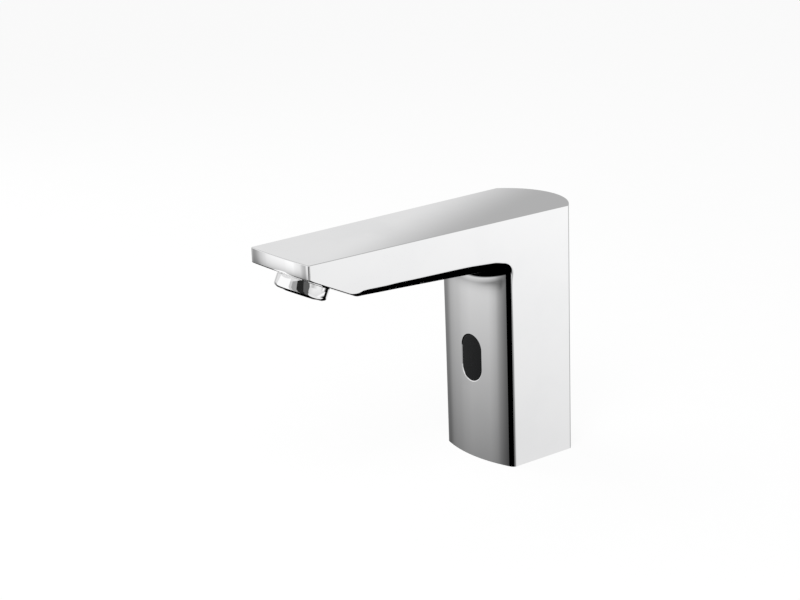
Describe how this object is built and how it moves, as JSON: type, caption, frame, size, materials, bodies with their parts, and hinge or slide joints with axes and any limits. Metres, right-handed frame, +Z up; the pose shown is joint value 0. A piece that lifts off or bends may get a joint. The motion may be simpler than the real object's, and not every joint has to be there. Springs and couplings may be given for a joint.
{
  "type": "infrared basin tap",
  "caption": "L-shaped chrome basin tap with a flat top, a screwed aerator in its sloping nose and an oval infrared window; valve and eye inside the column.",
  "frame": {"origin": "middle of the column's foot, on the face that sits on the basin", "axes": "+Z up, -Y towards the spout's tip, +X to the right of a user who faces the window"},
  "size_m": [0.056, 0.1773, 0.135],
  "materials": {
    "chrome": "polished",
    "dark_window": "gloss",
    "black_plastic": "matte",
    "pale_plastic": "matte",
    "laminate": "satin",
    "clear_epoxy": "gloss",
    "dark_epoxy": "gloss",
    "steel": "brushed",
    "brass": "satin",
    "copper": "satin",
    "magnet": "matte",
    "rubber": "matte",
    "soft_rubber": "matte"
  },
  "bodies": {
    "tap_body": {"base_gasket": "rubber", "base_plate": "brass", "base_screws": "steel", "body": "chrome", "bonnet_screws": "steel", "cable_grommet": "rubber", "check_valve_spring": "steel", "circuit_board": "laminate", "coil_bobbin": "pale_plastic", "coil_winding": "copper", "coil_yoke": "steel", "core_tube": "steel", "diaphragm": "rubber", "inlet_adapter": "brass", "inlet_filter": "steel", "inlet_seal": "rubber", "ir_emitter": "clear_epoxy", "ir_receiver": "dark_epoxy", "latch_magnet": "magnet", "light_barrier": "black_plastic", "outlet_seal": "rubber", "plunger_spring": "steel", "pole_piece": "steel", "riser_seals": "rubber", "riser_tube": "copper", "sensor_clip": "steel", "sensor_housing": "black_plastic", "sensor_screws": "steel", "sensor_window": "dark_window", "valve_body": "brass", "valve_bonnet": "black_plastic", "window_gasket": "rubber"},
    "aerator_insert": {"aerator_cartridge": "pale_plastic", "aerator_screen": "steel", "flow_regulator": "soft_rubber", "aerator_washer": "rubber"},
    "aerator_shell": {"aerator_housing": "chrome"},
    "plunger": {"plunger": "steel", "plunger_seal": "rubber"},
    "diaphragm_core": {"diaphragm_core": "pale_plastic"},
    "poppet": {"check_valve_poppet": "black_plastic"}
  },
  "joints": [
    {"name": "aerator_out", "type": "slide", "parent": "tap_body", "child": "aerator_insert", "axis": [0, -0.4384, -0.8988], "range_m": [0, 0.005]},
    {"name": "aerator_screw", "type": "hinge", "parent": "aerator_insert", "child": "aerator_shell", "pos_m": [0, -0.1335, 0.12073], "axis": [0, -0.4384, -0.8988], "range_deg": [0, 1800]},
    {"name": "plunger_stroke", "type": "slide", "parent": "tap_body", "child": "plunger", "axis": [0, 1, 0], "range_m": [0, 0.0028], "stiffness_N_per_m": 200, "springref_m": -0.004, "deforming": ["plunger_spring"]},
    {"name": "diaphragm_lift", "type": "slide", "parent": "tap_body", "child": "diaphragm_core", "axis": [0, 1, 0], "range_m": [0, 0.0022], "deforming": ["diaphragm"]},
    {"name": "non_return_lift", "type": "slide", "parent": "tap_body", "child": "poppet", "axis": [0, 0, 1], "range_m": [0, 0.003], "stiffness_N_per_m": 60, "springref_m": -0.003, "deforming": ["check_valve_spring"]}
  ],
  "couplings": [
    {"joint": "aerator_out", "follows": "aerator_screw", "m_per_rad": 0.000159},
    {"joint": "diaphragm_lift", "follows": "plunger_stroke", "ratio": 0.78}
  ]
}
